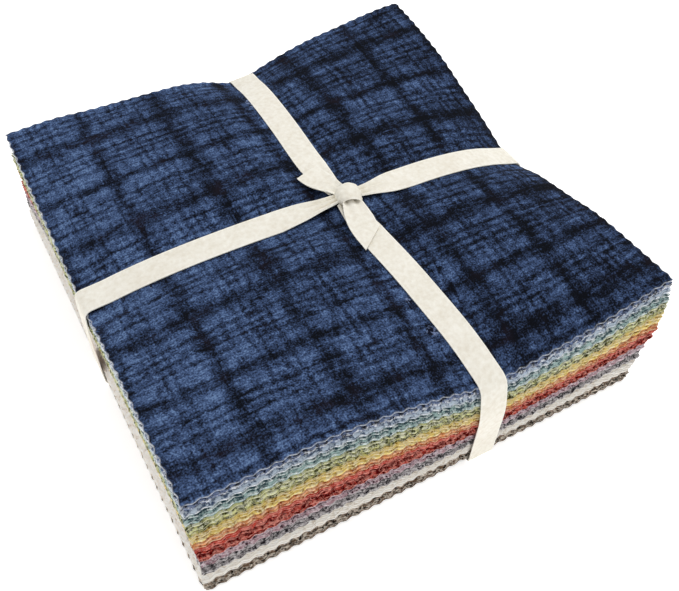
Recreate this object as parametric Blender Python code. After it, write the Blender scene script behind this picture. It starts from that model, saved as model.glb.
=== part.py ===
"""A stack of pinked flannel squares, tied crosswise like a parcel with one cotton tape.

Units are metres and +Z is up. The squares lie flat on each other with their sides along X and Y,
and the stack stands on the plane z = 0. Each sheet solid is a pair of squares lying face to face.
The tape presses a valley into the stack along both of its lines, deepest at the rims, so every
sheet is a share of the height between the underside and the uneven top.
"""

import math
import random
from collections import namedtuple

import bmesh
import bpy
import numpy as np

# The squares. Their side is measured to the middle of the teeth.
SIDE = 0.254
TEETH = 40
TOOTH_DEPTH = 0.0010
LAYER_GAP = 0.0003
COVER_GAP = 0.0007

# The tape
TAPE_WIDTH = 0.015
TAPE_THICK = 0.0010
TAPE_GAP = 0.0004
SIDE_GAP = 0.0006
FLOOR_WIDTH = 0.018
GROOVE_UNDER = TAPE_THICK + 0.0006
RIM_BEND = 0.0030
BASE_BEND = 0.0012
BEND_STEPS = 4

# How the stack gives way to the tape: how far in from a rim its notch fades, how deep the tape
# sinks away from the rims, and how much the middle swells.
NOTCH_REACH = 0.035
GROOVE_TOP = 0.0030
SWELL = 0.0020

# Where the tape runs, seen from above: a row for each rim and one for the knot.
TapeLine = namedtuple("TapeLine", "along across")
TAPE_ALONG_Y = (TapeLine(-0.127, 0.0199), TapeLine(-0.001, 0.0076), TapeLine(0.127, 0.0140))
TAPE_ALONG_X = (TapeLine(-0.127, 0.0036), TapeLine(0.0075, -0.0028), TapeLine(0.127, -0.0015))

# Heights of the top along its four rims. A station lies between the low rim and the tape's near
# side, or between the tape's far side and the high rim, at the share given. Along the front and
# back rims the stations run with X, along the left and right rims with Y.
Station = namedtuple("Station", "part share front back left right")
STATIONS = (
    Station("low", 0.00, 0.0825, 0.0664, 0.0825, 0.0861),
    Station("low", 0.20, 0.0836, 0.0690, 0.0815, 0.0836),
    Station("low", 0.55, 0.0826, 0.0688, 0.0740, 0.0776),
    Station("low", 1.00, 0.0642, 0.0605, 0.0625, 0.0605),
    Station("high", 0.00, 0.0635, 0.0630, 0.0618, 0.0600),
    Station("high", 0.40, 0.0706, 0.0768, 0.0640, 0.0750),
    Station("high", 0.75, 0.0800, 0.0838, 0.0655, 0.0838),
    Station("high", 1.00, 0.0861, 0.0860, 0.0664, 0.0860),
)
LAST = len(STATIONS) - 1
FLOOR = (3, 4)

# How far the squares have slipped, by their share of the height.
Slip = namedtuple("Slip", "level x y turn")
SLIPS = (
    Slip(0.00, 0.0008, -0.0008, -0.15),
    Slip(0.13, 0.0003, -0.0003, -0.15),
    Slip(0.35, 0.0001, -0.0005, -0.10),
    Slip(0.50, -0.0012, -0.0012, -0.20),
    Slip(0.64, -0.0019, -0.0017, -0.60),
    Slip(0.81, -0.0032, -0.0006, -0.65),
    Slip(0.90, -0.0028, 0.0009, -0.75),
    Slip(1.00, -0.0028, 0.0028, -0.70),
)
SLIP_JITTER = 0.0004
TURN_JITTER = 0.12
SHUFFLE = random.Random(11)

# The colours from the floor up, with the sheets of each.
Colour = namedtuple("Colour", "name sheets rgb")
COLOURS = (
    Colour("brown", 5, (0.130, 0.085, 0.062)),
    Colour("cream", 7, (0.740, 0.690, 0.590)),
    Colour("charcoal", 4, (0.090, 0.080, 0.090)),
    Colour("mauve", 5, (0.270, 0.180, 0.270)),
    Colour("red", 9, (0.330, 0.020, 0.025)),
    Colour("orange", 3, (0.680, 0.240, 0.070)),
    Colour("gold", 4, (0.640, 0.410, 0.070)),
    Colour("olive", 2, (0.170, 0.180, 0.050)),
    Colour("sage", 3, (0.240, 0.310, 0.140)),
    Colour("aqua", 3, (0.140, 0.330, 0.350)),
    Colour("sky", 2, (0.290, 0.420, 0.540)),
    Colour("navy", 3, (0.030, 0.060, 0.150)),
)
TAPE_RGB = (0.800, 0.760, 0.660)
SHEETS = sum(colour.sheets for colour in COLOURS)

# The knot and the two free ends. An end's rows run from inside the knot to its cut.
KNOT_AT = (0.0105, -0.0045)
KNOT_HALF = (0.0080, 0.0070, 0.0046)
KNOT_LIFT = 0.0034
KNOT_SINK = 0.0005
KNOT_FOOT = 0.0001
KNOT_PLEAT = 0.10
KNOT_PLEATS = 4
EndRow = namedtuple("EndRow", "share width lift")
END_ROWS = (
    EndRow(0.00, 0.45, 0.0040),
    EndRow(0.22, 0.60, 0.0056),
    EndRow(0.42, 0.85, 0.0042),
    EndRow(0.62, 1.00, 0.0030),
    EndRow(0.82, 1.00, 0.0026),
    EndRow(1.00, 1.00, 0.0029),
)
LooseEnd = namedtuple("LooseEnd", "name root tip slant")
LOOSE_ENDS = (
    LooseEnd("back_end", (0.0090, -0.0010), (0.0020, 0.0245), 8.0),
    LooseEnd("front_end", (0.0098, -0.0060), (0.0080, -0.0345), 38.0),
)


def clear_scene():
    for old in list(bpy.data.objects):
        bpy.data.objects.remove(old)


def cloth_material(name, rgb):
    material = bpy.data.materials.new(name)
    material.use_nodes = True
    shader = material.node_tree.nodes["Principled BSDF"]
    shader.inputs["Base Color"].default_value = (*rgb, 1.0)
    shader.inputs["Roughness"].default_value = 0.9
    shader.inputs["Metallic"].default_value = 0.0
    return material


def object_from(name, bm, material):
    """Closes a bmesh off as an object whose faces point outwards."""
    bmesh.ops.recalc_face_normals(bm, faces=bm.faces)
    mesh = bpy.data.meshes.new(name)
    bm.to_mesh(mesh)
    bm.free()
    mesh.materials.append(material)
    made = bpy.data.objects.new(name, mesh)
    bpy.context.collection.objects.link(made)
    return made


def hide_as_tool(tool):
    tool.hide_render = True
    tool.display_type = "WIRE"


def cut_or_join(target, tool, operation):
    """Adds an exact Boolean to the target and turns the other object into its tool."""
    boolean = target.modifiers.new(operation.title() + "_" + tool.name, "BOOLEAN")
    boolean.operation = operation
    boolean.solver = "EXACT"
    boolean.object = tool
    hide_as_tool(tool)


def blend(low, high, share):
    return low + (high - low) * share


def from_rows(rows, key, column, value):
    """Reads a column of a short table at a value of its key, straight between two rows."""
    keys = [getattr(row, key) for row in rows]
    return float(np.interp(value, keys, [getattr(row, column) for row in rows]))


def station_at(index, half, tape):
    """The place of a station on a line that the tape crosses at the place given."""
    station = STATIONS[index]
    if station.part == "low":
        return blend(-half, tape - FLOOR_WIDTH / 2, station.share)
    return blend(tape + FLOOR_WIDTH / 2, half, station.share)


def plan_grid():
    """The stations of all lines, seen from above; they bend with the tape."""
    half = SIDE / 2
    rough_x = [station_at(i, half, TAPE_ALONG_Y[1].across) for i in range(LAST + 1)]
    rough_y = [station_at(j, half, TAPE_ALONG_X[1].across) for j in range(LAST + 1)]
    plan = np.zeros((LAST + 1, LAST + 1, 2))
    for i in range(LAST + 1):
        for j in range(LAST + 1):
            tape_x = from_rows(TAPE_ALONG_Y, "along", "across", rough_y[j])
            tape_y = from_rows(TAPE_ALONG_X, "along", "across", rough_x[i])
            plan[i, j] = (station_at(i, half, tape_x), station_at(j, half, tape_y))
    return plan


def swell_share(u, v):
    """Nothing along the rims and 1 in the middle, with u and v from 0 to 1."""
    return 4 * u * (1 - u) * 4 * v * (1 - v)


def plateau(x, y):
    """The top without the tape: its four corners, and a slight swell between them."""
    u = x / SIDE + 0.5
    v = y / SIDE + 0.5
    near, far = STATIONS[0], STATIONS[LAST]
    flat = blend(blend(near.front, far.front, u), blend(near.back, far.back, u), v)
    return flat + SWELL * swell_share(u, v)


def top_grid(plan):
    """Heights of the top at the stations: the plateau, less the rims' notches and the groove."""
    half = SIDE / 2
    top = np.zeros((LAST + 1, LAST + 1))
    for i in range(LAST + 1):
        for j in range(LAST + 1):
            x, y = plan[i, j]
            rims = (
                (STATIONS[i].front - plateau(x, -half), y + half),
                (STATIONS[i].back - plateau(x, half), half - y),
                (STATIONS[j].left - plateau(-half, y), x + half),
                (STATIONS[j].right - plateau(half, y), half - x),
            )
            top[i, j] = plateau(x, y)
            for notch, inwards in rims:
                top[i, j] += notch * math.exp(-inwards / NOTCH_REACH)
            if i in FLOOR or j in FLOOR:
                nearest = min(inwards for _, inwards in rims)
                top[i, j] -= GROOVE_TOP * (1 - math.exp(-nearest / NOTCH_REACH))
    return top


def base_grid():
    """Heights of the underside: flat on the floor, and lifted where the tape runs under it."""
    base = np.zeros((LAST + 1, LAST + 1))
    for index in FLOOR:
        base[index, :] = GROOVE_UNDER
        base[:, index] = GROOVE_UNDER
    return base


def slip_of(level):
    """How far the sheet at this level has slipped in X and Y, and its turn in radians."""
    x = from_rows(SLIPS, "level", "x", level) + SHUFFLE.uniform(-SLIP_JITTER, SLIP_JITTER)
    y = from_rows(SLIPS, "level", "y", level) + SHUFFLE.uniform(-SLIP_JITTER, SLIP_JITTER)
    turn = from_rows(SLIPS, "level", "turn", level) + SHUFFLE.uniform(-TURN_JITTER, TURN_JITTER)
    return Slip(level, x, y, math.radians(turn))


def slide_rim(grid, rim, inner, moved):
    """Moves a rim point along its station's line, and keeps it on the slope that it has there."""
    edge, inside = grid[rim], grid[inner]
    run = edge[:2] - inside[:2]
    return edge + (edge - inside) * (moved @ run / (run @ run))


def slipped(grid, half, slip):
    """The grid of one surface with its four rims moved to where the slipped sheet ends."""
    grow = half - SIDE / 2
    moved = grid.copy()
    for index in range(LAST + 1):
        x, y = grid[index, 0, 0], grid[0, index, 1]
        to_front = np.array((0.0, slip.y + slip.turn * x - grow))
        to_back = np.array((0.0, slip.y + slip.turn * x + grow))
        to_left = np.array((slip.x - slip.turn * y - grow, 0.0))
        to_right = np.array((slip.x - slip.turn * y + grow, 0.0))
        moved[index, 0] = slide_rim(grid, (index, 0), (index, 1), to_front)
        moved[index, LAST] = slide_rim(grid, (index, LAST), (index, LAST - 1), to_back)
        moved[0, index] = slide_rim(moved, (0, index), (1, index), to_left)
        moved[LAST, index] = slide_rim(moved, (LAST, index), (LAST - 1, index), to_right)
    return moved


def sheet_mesh(under, over):
    """A closed sheet between two grids of points."""
    bm = bmesh.new()
    below, above = [[[bm.verts.new(point) for point in row] for row in grid] for grid in (under, over)]
    for i in range(LAST):
        for j in range(LAST):
            for side in (below, above):
                a, b, c, d = side[i][j], side[i + 1][j], side[i + 1][j + 1], side[i][j + 1]
                bm.faces.new((a, b, c))
                bm.faces.new((a, c, d))
    for k in range(LAST):
        for i, j, di, dj in ((k, 0, 1, 0), (k, LAST, 1, 0), (0, k, 0, 1), (LAST, k, 0, 1)):
            bm.faces.new((below[i][j], below[i + di][j + dj], above[i + di][j + dj], above[i][j]))
    return bm


def pinked_outline(slip):
    """The zigzag edge that pinking shears leave, as a ring of points seen from above."""
    half = (SIDE + TOOTH_DEPTH) / 2
    ring = []
    for quarter in range(4):
        for step in range(2 * TEETH):
            depth = TOOTH_DEPTH * (step % 2)
            along, out = -half + step * half / TEETH, -(half - depth)
            turn = quarter * math.pi / 2 + slip.turn
            x = along * math.cos(turn) - out * math.sin(turn)
            y = along * math.sin(turn) + out * math.cos(turn)
            ring.append((x + slip.x, y + slip.y))
    return ring


def pinking_tool(name, slip, height, material):
    """A column with a zigzag outline, which trims a sheet's rim."""
    bm = bmesh.new()
    ring = [bm.verts.new((x, y, -height)) for x, y in pinked_outline(slip)]
    foot = bm.faces.new(ring)
    grown = bmesh.ops.extrude_face_region(bm, geom=[foot])
    lifted = [part for part in grown["geom"] if isinstance(part, bmesh.types.BMVert)]
    bmesh.ops.translate(bm, verts=lifted, vec=(0, 0, 3 * height))
    return object_from(name, bm, material)


def level_grid(plan, base, top, level):
    """The points of the surface at a share of the stack's height."""
    heights = blend(base, top, level)
    return np.dstack((plan, heights))


def make_sheets(plan, base, top):
    """Every sheet from the floor up. Returns the slips, which the tape's sides lie against."""
    slips = []
    number = 0
    for colour in COLOURS:
        material = cloth_material(colour.name, colour.rgb)
        for nth in range(1, colour.sheets + 1):
            under = level_grid(plan, base, top, number / SHEETS)
            over = level_grid(plan, base, top, (number + 1) / SHEETS)
            over[:, :, 2] -= LAYER_GAP
            slip = slip_of((number + 0.5) / SHEETS)
            cover = number == SHEETS - 1
            if cover:
                under[:, :, 2] += COVER_GAP - LAYER_GAP
            half = SIDE / 2 + (TOOTH_DEPTH if cover else 0)
            name = f"{colour.name}_{nth}"
            bm = sheet_mesh(slipped(under, half, slip), slipped(over, half, slip))
            sheet = object_from(name, bm, material)
            if cover:
                tool = pinking_tool("pinking", slip, top.max(), material)
                cut_or_join(sheet, tool, "INTERSECT")
            slips.append(slip)
            number += 1
    return slips


def taut(points):
    """The points that a tape pulled tight down a side touches, from top to bottom."""
    kept = []
    for out, height in points:
        while len(kept) > 1:
            (out_a, height_a), (out_b, height_b) = kept[-2:]
            bulge = (out_b - out_a) * (height_a - height) - (out - out_a) * (height_a - height_b)
            if bulge > 0:
                break
            kept.pop()
        kept.append((out, height))
    return kept


def bend_points(corner, gap, radius, start, end):
    """Points of a round bend over a corner, between two directions that its outside faces."""
    middle = math.radians((start + end) / 2)
    back = radius - gap
    centre = (corner[0] - back * math.cos(middle), corner[1] - back * math.sin(middle))
    points = []
    for step in range(BEND_STEPS + 1):
        facing = math.radians(blend(start, end, step / BEND_STEPS))
        points.append((centre[0] + radius * math.cos(facing), centre[1] + radius * math.sin(facing)))
    return points


Branch = namedtuple("Branch", "name axis sign drift")
BRANCHES = (
    Branch("front", 1, -1, 0.0049),
    Branch("right", 0, 1, -0.0010),
    Branch("back", 1, 1, 0.0020),
    Branch("left", 0, -1, 0.0009),
)


def across_floor(grid, axis, index, share):
    """A point across the tape's floor on one station line."""
    first, second = FLOOR
    if axis == 1:
        return blend(grid[first, index], grid[second, index], share)
    return blend(grid[index, first], grid[index, second], share)


def tape_shares():
    """Where the tape's two edges lie across its floor."""
    spare = (1 - TAPE_WIDTH / FLOOR_WIDTH) / 2
    return spare, 1 - spare


def side_profile(branch, grid_at, slips):
    """The tape's route over one rim, down the side and round the base, as (out, height) pairs."""
    half = (SIDE + TOOTH_DEPTH) / 2
    rim = 0 if branch.sign < 0 else LAST
    inner = 1 if branch.sign < 0 else LAST - 1
    edges = []
    for number, slip in enumerate(slips):
        level = (number + 1) / SHEETS
        point = across_floor(grid_at(level), branch.axis, rim, 0.5)
        cross = point[1 - branch.axis]
        moved = slip.y + slip.turn * cross if branch.axis == 1 else slip.x - slip.turn * cross
        edges.append((half + branch.sign * moved, point[2]))
    top = grid_at(1.0)
    rim_point = across_floor(top, branch.axis, rim, 0.5)
    inside = across_floor(top, branch.axis, inner, 0.5)
    fall = abs(inside[branch.axis]) - edges[-1][0]
    slope = math.degrees(math.atan2(rim_point[2] - inside[2], -fall))
    over_rim = bend_points(edges[-1], SIDE_GAP, RIM_BEND, 90 + slope, 0)
    foot = (edges[0][0], GROOVE_UNDER)
    turn_at = (foot[0] + SIDE_GAP - BASE_BEND, TAPE_THICK + BASE_BEND)
    under_foot = bend_points(turn_at, BASE_BEND, BASE_BEND, 0, -90)
    beside = [(out + SIDE_GAP, height) for out, height in reversed(edges)]
    middle = [pair for pair in beside if under_foot[0][1] < pair[1] < over_rim[-1][1]]
    return over_rim[:-1] + taut([over_rim[-1]] + middle + [under_foot[0]]) + under_foot[1:]


def branch_sections(branch, grid_at, slips):
    """Pairs of points on the tape's inner face, from the knot's patch to the patch below."""
    top, base = grid_at(1.0), grid_at(0.0)
    low, high = tape_shares()
    rim = 0 if branch.sign < 0 else LAST
    inwards = -branch.sign
    sections = []
    start = FLOOR[0] if branch.sign < 0 else FLOOR[1]
    for index in range(start - inwards, rim, -inwards):
        pair = [across_floor(top, branch.axis, index, share) for share in (low, high)]
        for point in pair:
            point[2] += TAPE_GAP
        sections.append(pair)
    profile = side_profile(branch, grid_at, slips)
    at_rim = [across_floor(top, branch.axis, rim, share) for share in (low, high)]
    drop = profile[0][1] - profile[-1][1]
    level = (at_rim[0][2] + at_rim[1][2]) / 2
    for out, height in profile:
        fallen = (profile[0][1] - height) / drop
        pair = []
        for point in at_rim:
            moved = point.copy()
            moved[branch.axis] = branch.sign * out
            moved[1 - branch.axis] += branch.drift * fallen
            moved[2] = height + (point[2] - level) * (1 - fallen)
            pair.append(moved)
        sections.append(pair)
    for index in range(rim + inwards, start, inwards):
        pair = [across_floor(base, branch.axis, index, share) for share in (low, high)]
        for point in pair:
            point[2] = TAPE_THICK
        sections.append(pair)
    return sections


def patch_corners(grid, height_of):
    """The four corners of the square where the two runs of tape cross."""
    shares = tape_shares()
    corners = {}
    for u in (0, 1):
        for v in (0, 1):
            near = across_floor(grid, 1, FLOOR[0], shares[u])
            far = across_floor(grid, 1, FLOOR[1], shares[u])
            corner = blend(near, far, shares[v])
            corner[2] = height_of(corner[2])
            corners[u, v] = corner
    return corners


def patch_edge(corners, branch):
    """The two corners from which a branch leaves the crossing, in the order of its sections."""
    side = 0 if branch.sign < 0 else 1
    keys = ((0, side), (1, side)) if branch.axis == 1 else ((side, 0), (side, 1))
    return [corners[key] for key in keys]


def facing_out(previous, following, pair, outwards):
    """The direction that the tape's outer face looks in at one section."""
    run = (following[0] + following[1]) - (previous[0] + previous[1])
    normal = np.cross(run, pair[1] - pair[0])
    normal /= np.linalg.norm(normal)
    return normal if normal @ outwards > 0 else -normal


def strip_faces(bm, sections):
    """Skins a run of sections, each with two inner and two outer corners."""
    for here, there in zip(sections, sections[1:]):
        for a in range(4):
            b = (a + 1) % 4
            bm.faces.new((here[a], here[b], there[b], there[a]))


def make_tape_cage(plan, base, top, slips, material):
    """The tape round the stack: four branches between the crossing on top and the one below."""
    centre = np.array((0.0, 0.0, top.mean() / 2))
    bm = bmesh.new()
    crossings = []
    for grid, sign in ((level_grid(plan, base, top, 1.0), 1), (level_grid(plan, base, top, 0.0), -1)):
        inner = patch_corners(grid, lambda z, up=sign > 0: z + TAPE_GAP if up else TAPE_THICK)
        outer = {key: corner + np.array((0, 0, sign * TAPE_THICK)) for key, corner in inner.items()}
        made = {}
        for key in inner:
            made[key] = (bm.verts.new(inner[key]), bm.verts.new(outer[key]))
        for face in (0, 1):
            bm.faces.new([made[key][face] for key in ((0, 0), (1, 0), (1, 1), (0, 1))])
        crossings.append((inner, made))
    for branch in BRANCHES:
        pairs = branch_sections(branch, lambda level: level_grid(plan, base, top, level), slips)
        ends = [patch_edge(inner, branch) for inner, _ in crossings]
        route = [ends[0]] + pairs + [ends[1]]
        rings = []
        for index in range(1, len(route) - 1):
            pair = route[index]
            outwards = (pair[0] + pair[1]) / 2 - centre
            normal = facing_out(route[index - 1], route[index + 1], pair, outwards)
            corners = (pair[0], pair[1], pair[1] + normal * TAPE_THICK, pair[0] + normal * TAPE_THICK)
            rings.append([bm.verts.new(corner) for corner in corners])
        first, last = [patch_edge(made, branch) for _, made in crossings]
        opening = [first[0][0], first[1][0], first[1][1], first[0][1]]
        closing = [last[0][0], last[1][0], last[1][1], last[0][1]]
        strip_faces(bm, [opening] + rings + [closing])
    return object_from("tape", bm, material)


def make_knot(surface, material):
    """The knot: a pleated lump that sits on the crossing."""
    bm = bmesh.new()
    bmesh.ops.create_uvsphere(bm, u_segments=18, v_segments=10, radius=1.0)
    for vert in bm.verts:
        around = math.atan2(vert.co.y, vert.co.x)
        pleat = 1 + KNOT_PLEAT * math.cos(KNOT_PLEATS * around) * (1 - abs(vert.co.z))
        x = KNOT_AT[0] + KNOT_HALF[0] * pleat * vert.co.x
        y = KNOT_AT[1] + KNOT_HALF[1] * pleat * vert.co.y
        z = surface + KNOT_LIFT + KNOT_HALF[2] * vert.co.z
        vert.co = (x, y, max(z, surface - KNOT_SINK + KNOT_FOOT * vert.co.z))
    return object_from("knot", bm, material)


def make_loose_end(end, surface, material):
    """A free end of the tape: gathered in the knot, then flat, with a slanting cut."""
    root, tip = np.array(end.root), np.array(end.tip)
    run = tip - root
    length = np.linalg.norm(run)
    ahead = run / length
    aside = np.array((ahead[1], -ahead[0]))
    slant = math.tan(math.radians(end.slant)) * (1 if ahead[1] > 0 else -1)
    bm = bmesh.new()
    rings = []
    for row in END_ROWS:
        reach = TAPE_WIDTH / 2 * row.width
        skew = slant * row.share**2
        ring = []
        for side, lift in ((-1, 0), (1, 0), (1, TAPE_THICK), (-1, TAPE_THICK)):
            along = row.share * length - side * skew * reach
            place = root + ahead * along + aside * side * reach
            ring.append(bm.verts.new((*place, surface + row.lift + lift - TAPE_THICK)))
        rings.append(ring)
    strip_faces(bm, rings)
    bm.faces.new(rings[0])
    bm.faces.new(rings[-1])
    return object_from(end.name, bm, material)


def make_tape(plan, base, top, slips):
    """The whole tape as one solid: the cage, the knot and the two free ends."""
    material = cloth_material("tape", TAPE_RGB)
    tape = make_tape_cage(plan, base, top, slips, material)
    crossing = patch_corners(level_grid(plan, base, top, 1.0), lambda height: height)
    surface = max(corner[2] for corner in crossing.values()) + TAPE_GAP + TAPE_THICK
    cut_or_join(tape, make_knot(surface, material), "UNION")
    for end in LOOSE_ENDS:
        cut_or_join(tape, make_loose_end(end, surface, material), "UNION")


def centre_on_origin():
    """Moves everything sideways so that the origin is under the middle of the whole stack."""
    bpy.context.view_layer.update()
    places = []
    graph = bpy.context.evaluated_depsgraph_get()
    for item in bpy.context.collection.objects:
        if not item.hide_render:
            solid = item.evaluated_get(graph)
            places += [solid.matrix_world @ vert.co for vert in solid.data.vertices]
    middle_x = (max(p.x for p in places) + min(p.x for p in places)) / 2
    middle_y = (max(p.y for p in places) + min(p.y for p in places)) / 2
    for item in bpy.context.collection.objects:
        item.location.x -= middle_x
        item.location.y -= middle_y


def main():
    clear_scene()
    plan = plan_grid()
    top = top_grid(plan)
    base = base_grid()
    slips = make_sheets(plan, base, top)
    make_tape(plan, base, top, slips)
    centre_on_origin()


main()
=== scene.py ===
# %% [markdown]
# # A stack of pinked flannel squares, tied like a parcel
#
# A quilter buys cloth ready cut: about a hundred brushed cotton squares, ten inches a side, in
# bands of colour, held by one cotton tape. The frame that is loaded first is the construction: 50
# solid sheets and the tape. Nothing in it is moved. Each cell below dresses a part of it in cloth
# that has its real thickness, edge, colour and nap.

# %% Load the frame
import math
import random
from collections import namedtuple

import bpy
import numpy as np
from mathutils import Matrix, Vector
from mathutils.geometry import delaunay_2d_cdt


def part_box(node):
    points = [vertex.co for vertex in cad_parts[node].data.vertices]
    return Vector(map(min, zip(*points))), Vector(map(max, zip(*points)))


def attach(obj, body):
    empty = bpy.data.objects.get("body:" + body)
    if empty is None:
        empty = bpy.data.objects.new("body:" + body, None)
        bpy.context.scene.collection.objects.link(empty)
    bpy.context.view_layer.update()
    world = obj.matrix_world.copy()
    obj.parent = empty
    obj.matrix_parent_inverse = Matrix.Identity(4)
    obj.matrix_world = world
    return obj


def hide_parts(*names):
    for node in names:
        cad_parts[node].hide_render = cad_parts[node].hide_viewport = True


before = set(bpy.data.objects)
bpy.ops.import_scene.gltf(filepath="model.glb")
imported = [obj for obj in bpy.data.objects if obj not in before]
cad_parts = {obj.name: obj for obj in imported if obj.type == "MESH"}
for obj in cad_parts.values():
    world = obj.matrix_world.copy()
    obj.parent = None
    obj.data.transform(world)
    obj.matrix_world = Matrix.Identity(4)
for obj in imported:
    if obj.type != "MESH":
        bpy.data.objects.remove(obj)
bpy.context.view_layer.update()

bpy.ops.object.select_all(action="DESELECT")

# %% [markdown]
# ## The sizes that drive everything
#
# A pre-cut square is 254 mm a side, and pinking shears leave 40 teeth along it. The tape is 15 mm
# wide. How many sheets there are, and where each of them lies, is read from the frame. The squares
# have slipped and turned as they were piled up, which a short table says in millimetres and degrees.

# %% Sizes of the squares and of the tape
MM = 0.001
SIDE = 254 * MM
HALF = SIDE / 2
TEETH = 40
TOOTH_PITCH = SIDE / TEETH
TOOTH_DEPTH = 0.9 * MM
TAPE_WIDTH = 15 * MM
TAPE_THICK = 0.5 * MM

sheet_nodes = sorted((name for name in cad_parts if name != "tape"), key=lambda name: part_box(name)[0].z)
SQUARES = 2 * len(sheet_nodes)
sheet_middles = np.array([(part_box(name)[0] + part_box(name)[1]) / 2 for name in sheet_nodes])

# %% How far the squares have slipped and turned, by their share of the height
Slip = namedtuple("Slip", "level x y turn")
SLIPS = (
    Slip(0.00, 0.8, -0.8, -0.15),
    Slip(0.13, 0.3, -0.3, -0.15),
    Slip(0.35, 0.1, -0.5, -0.10),
    Slip(0.50, -1.2, -1.2, -0.20),
    Slip(0.64, -1.9, -1.7, -0.60),
    Slip(0.81, -3.2, -0.6, -0.65),
    Slip(0.90, -2.8, 0.9, -0.75),
    Slip(1.00, -2.8, 2.8, -0.70),
)


def slip_at(level):
    """The slip in X and Y, in metres, and the turn in radians, of the squares at a level."""
    x, y, turn = [np.interp(level, [row.level for row in SLIPS], column) for column in list(zip(*SLIPS))[1:]]
    return x * MM, y * MM, math.radians(1) * turn


levels = (np.arange(len(sheet_nodes)) + 0.5) / len(sheet_nodes)
CENTRE = Vector((sheet_middles[:, :2] - np.stack(slip_at(levels)[:2], 1)).mean(0)).to_3d()
print(SQUARES, "squares, centred on", [round(v, 5) for v in CENTRE.to_2d()])

# %% [markdown]
# ## Soft curves through a few points
#
# The tape wanders a little from side to side, and the rims rise and fall. Both are easy to say
# with a few listed points. A chain of cubic pieces joins them without corners: each point gets
# the slope of its neighbours, as a spline in a drawing program does. Blender's curve objects could
# do it too, but a formula can be asked for its value anywhere.

# %% A helper that draws a soft curve
def soft_curve(points):
    """A function that runs smoothly through (place, value) points, for numbers or arrays."""
    keys, values = np.array(points, float).T
    slopes = np.gradient(values, keys)

    def at(place):
        place = np.clip(place, keys[0], keys[-1])
        i = np.clip(np.searchsorted(keys, place) - 1, 0, len(keys) - 2)
        width = keys[i + 1] - keys[i]
        t = (place - keys[i]) / width
        rise = t * t * (3 - 2 * t)
        leave = t * (1 - t) ** 2 * width * slopes[i]
        arrive = t * t * (t - 1) * width * slopes[i + 1]
        return values[i] * (1 - rise) + values[i + 1] * rise + leave + arrive

    return at


def ease(low, high, value):
    """0 below low, 1 above high and a soft step between."""
    t = np.clip((value - low) / (high - low), 0, 1)
    return t * t * (3 - 2 * t)


# %% Where the tape runs over the top
Y_RUN = (
    (-127, 19.9), (-102, 17.1), (-78, 14.2), (-54, 12.0), (-30, 9.6), (-12, 8.4),
    (10, 7.2), (33, 7.2), (60, 9.0), (86, 10.9), (113, 13.1), (127, 14.0),
)
X_RUN = ((-127, 3.6), (-80, 1.3), (-40, -0.7), (0, -2.7), (20, -3.0), (60, -2.3), (127, -1.5))
y_run_at = soft_curve(np.array(Y_RUN) * MM)
x_run_at = soft_curve(np.array(X_RUN) * MM)
print("the runs cross near", round(float(y_run_at(0)), 4), round(float(x_run_at(0)), 4))

# %% [markdown]
# ## The shape of the top
#
# The corners stand 66 to 86 mm high, and the tape bites a notch of up to about 20 mm into each rim.
# The table gives the height of the four rims in millimetres, at stations: 0 to 1 runs from the left
# or front corner to the tape, 1 to 2 across the tape, and 2 to 3 on to the other corner. Away from
# a rim the notch fades, and a shallow groove under the tape is what is left of it. Cloth simulation
# could press such a groove too, but measured rims give the right corners at once.

# %% The heights of the four rims
Rim = namedtuple("Rim", "station front back left right")
RIMS = (
    Rim(0.00, 82.5, 66.4, 82.5, 85.8),
    Rim(0.20, 83.4, 68.6, 81.5, 83.6),
    Rim(0.35, 84.6, 68.2, 79.0, 81.9),
    Rim(0.50, 83.6, 68.4, 76.0, 79.4),
    Rim(0.65, 79.6, 68.6, 73.0, 74.5),
    Rim(0.78, 75.0, 68.2, 70.2, 70.7),
    Rim(0.89, 70.4, 65.5, 67.4, 67.1),
    Rim(1.00, 64.5, 60.8, 63.2, 61.5),
    Rim(1.50, 63.3, 59.8, 61.4, 58.8),
    Rim(2.00, 63.8, 63.7, 62.0, 60.5),
    Rim(2.15, 65.6, 69.7, 63.0, 66.2),
    Rim(2.35, 69.3, 75.9, 64.2, 73.0),
    Rim(2.55, 73.6, 79.9, 65.0, 79.8),
    Rim(2.75, 80.0, 83.8, 65.6, 83.8),
    Rim(2.90, 84.8, 85.8, 66.1, 85.5),
    Rim(3.00, 86.1, 86.0, 66.4, 86.0),
)
GROOVE_WIDTH = 18 * MM
NOTCH_REACH = 35 * MM
GROOVE_DEPTH = 3.0 * MM
GROOVE_SLOPE = 20 * MM
SWELL = 2.0 * MM
UNDER_LIFT = 1.7 * MM
UNDER_SLOPE = 12 * MM


# %% From places to stations and back
def station_of(place, tape):
    """The station of a place on a line that the tape crosses at the place given."""
    near, far = tape - GROOVE_WIDTH / 2, tape + GROOVE_WIDTH / 2
    low = (place + HALF) / (near + HALF)
    across = 1 + (place - near) / GROOVE_WIDTH
    high = 2 + (place - far) / (HALF - far)
    return np.where(place < near, low, np.where(place < far, across, high))


def place_of(station, tape):
    """The other way round: the place of a station."""
    near, far = tape - GROOVE_WIDTH / 2, tape + GROOVE_WIDTH / 2
    return np.interp(station, (0, 1, 2, 3), (-HALF, near, far, HALF))


def rim_heights(column, tape):
    """The height of one rim as a function of the station."""
    tape = float(tape)
    rim = soft_curve([(place_of(row.station, tape), getattr(row, column) * MM) for row in RIMS])
    return lambda station: rim(place_of(station, tape))


front_rim = rim_heights("front", y_run_at(-HALF))
back_rim = rim_heights("back", y_run_at(HALF))
left_rim = rim_heights("left", x_run_at(-HALF))
right_rim = rim_heights("right", x_run_at(HALF))


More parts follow.
